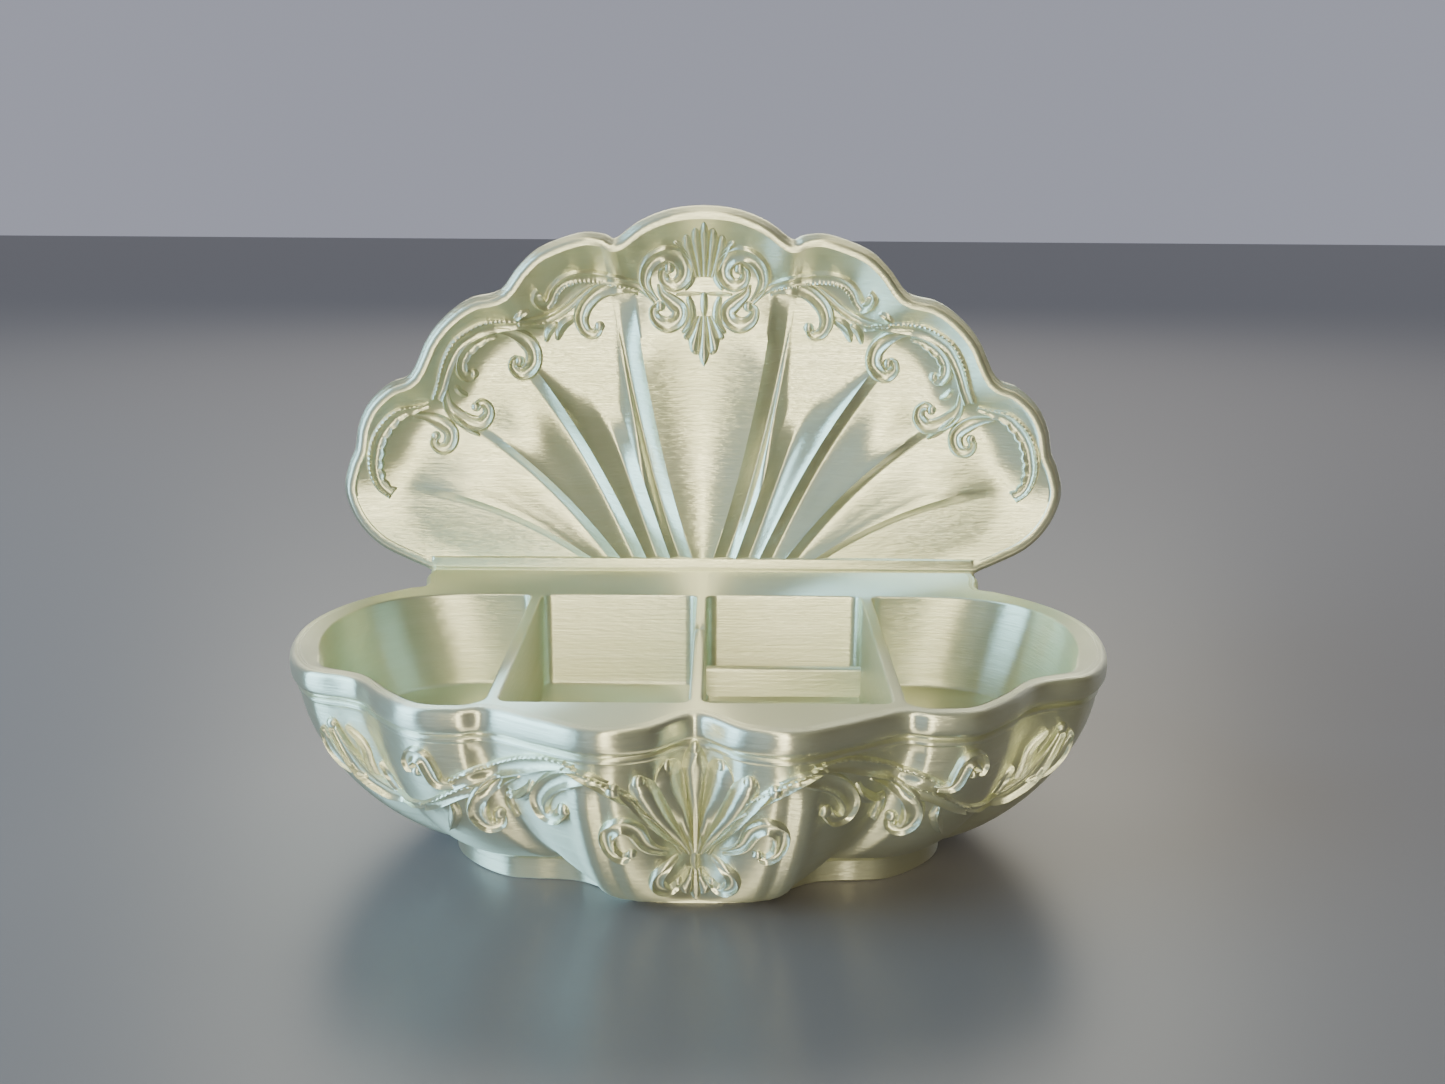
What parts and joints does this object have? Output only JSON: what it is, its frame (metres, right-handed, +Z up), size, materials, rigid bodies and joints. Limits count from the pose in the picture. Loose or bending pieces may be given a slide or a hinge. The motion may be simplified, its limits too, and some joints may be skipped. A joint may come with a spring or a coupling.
{
  "type": "jewellery box",
  "caption": "Scallop-shell jewellery box with an upright shell lid, a divided base and raised scroll ornament.",
  "frame": {"origin": "on the table under the middle of the box's bounding box", "axes": "+Z up, -Y towards the front with the compartments open to it, +X to the right seen from the front"},
  "size_m": [0.2056, 0.137, 0.1554],
  "materials": {
    "pearl_silk_plastic": "pearl-white silk plastic with a satin sheen and fine print layers"
  },
  "bodies": {
    "root": {"shell_box": "pearl_silk_plastic"}
  },
  "joints": []
}
